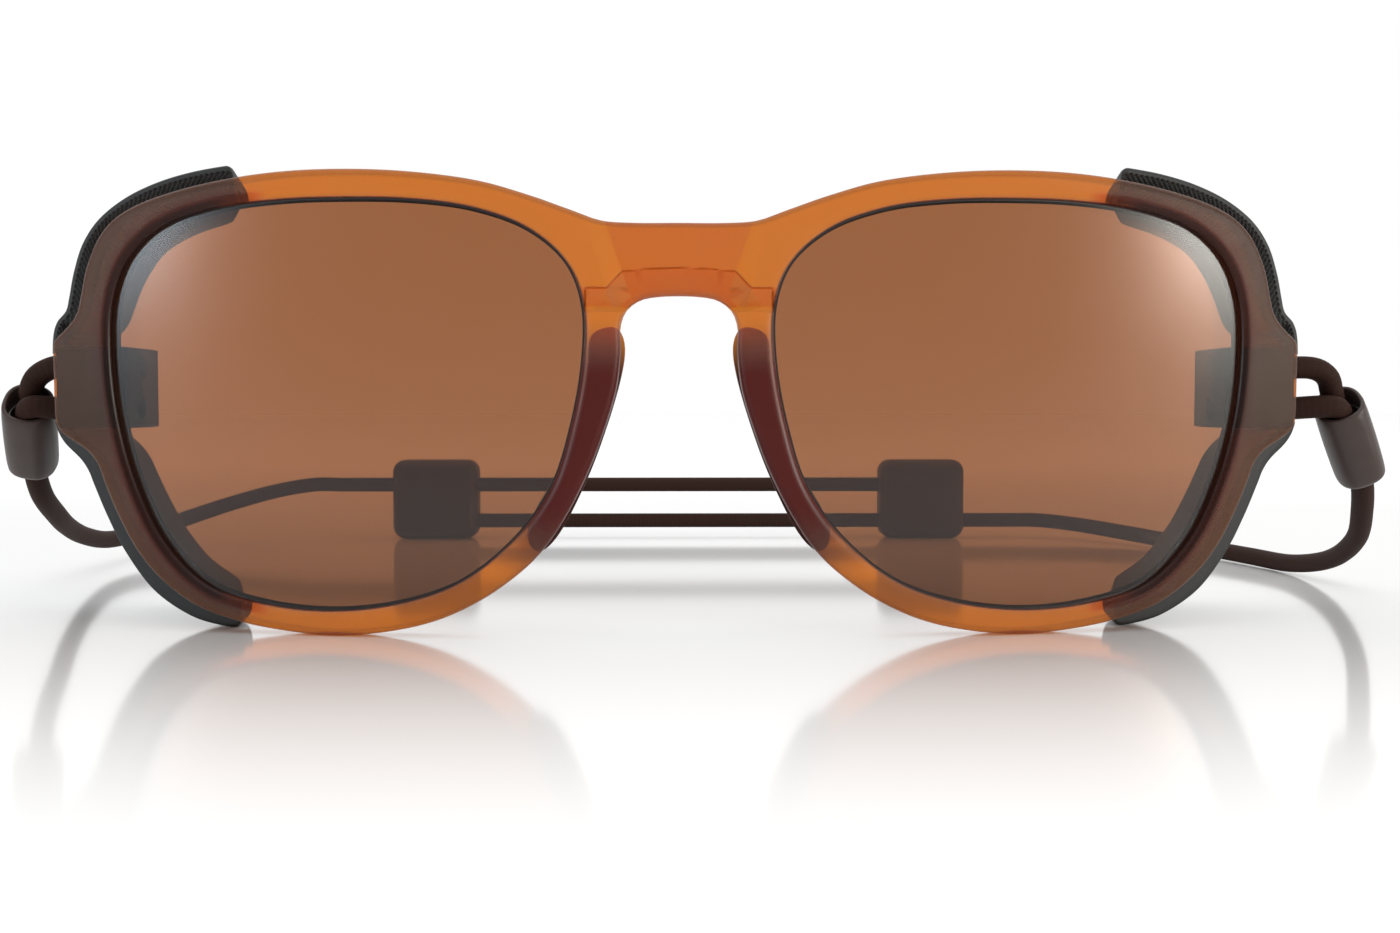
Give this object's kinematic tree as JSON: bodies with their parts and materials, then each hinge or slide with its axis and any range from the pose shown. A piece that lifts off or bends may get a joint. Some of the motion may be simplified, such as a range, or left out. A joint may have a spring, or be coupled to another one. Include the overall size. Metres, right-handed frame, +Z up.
{
  "type": "glacier glasses",
  "caption": "Round-lens glacier glasses with a one-piece front, slip-on side shields and an adjustable cord with two sliders instead of arms.",
  "frame": {"origin": "on the ground under the middle of the front and its shields, without the cord", "axes": "+X to the right as seen from the front, +Y from the front towards the back of the head, +Z up"},
  "size_m": [0.1935, 0.1325, 0.055],
  "materials": {
    "frame": "translucent amber, satin polished",
    "lens": "brown tinted, polished, mirror-coated lightly",
    "pad_rubber": "matte",
    "shield_rubber": "matte, fine diagonal ribs",
    "cord": "satin",
    "sleeve": "satin",
    "slider": "satin",
    "bush_rubber": "matte",
    "crimp_metal": "plain"
  },
  "bodies": {
    "front": {"frame_front": "frame", "left_lens": "lens", "right_lens": "lens", "left_nose_pad": "pad_rubber", "right_nose_pad": "pad_rubber", "left_cord_loop": "cord", "right_cord_loop": "cord", "left_sleeve": "sleeve", "right_sleeve": "sleeve", "left_crimp": "crimp_metal", "right_crimp": "crimp_metal", "left_cord": "cord", "right_cord": "cord"},
    "left_side_shield": {"left_shield": "shield_rubber"},
    "right_side_shield": {"right_shield": "shield_rubber"},
    "left_cord_slider": {"left_slider": "slider", "left_grip_bush": "bush_rubber", "left_cord_end": "crimp_metal"},
    "right_cord_slider": {"right_slider": "slider", "right_grip_bush": "bush_rubber", "right_cord_end": "crimp_metal"}
  },
  "joints": [
    {"name": "left_shield_pull", "type": "slide", "parent": "front", "child": "left_side_shield", "axis": [0, 1, 0], "range_m": [0, 0.025], "deforming": ["left_cord_loop"]},
    {"name": "right_shield_pull", "type": "slide", "parent": "front", "child": "right_side_shield", "axis": [0, 1, 0], "range_m": [0, 0.025], "deforming": ["right_cord_loop"]},
    {"name": "left_slider_slide", "type": "slide", "parent": "front", "child": "left_cord_slider", "axis": [1, 0, 0], "range_m": [-0.008, 0.039], "deforming": ["right_cord"]},
    {"name": "right_slider_slide", "type": "slide", "parent": "front", "child": "right_cord_slider", "axis": [-1, 0, 0], "range_m": [-0.008, 0.039], "deforming": ["left_cord"]}
  ]
}
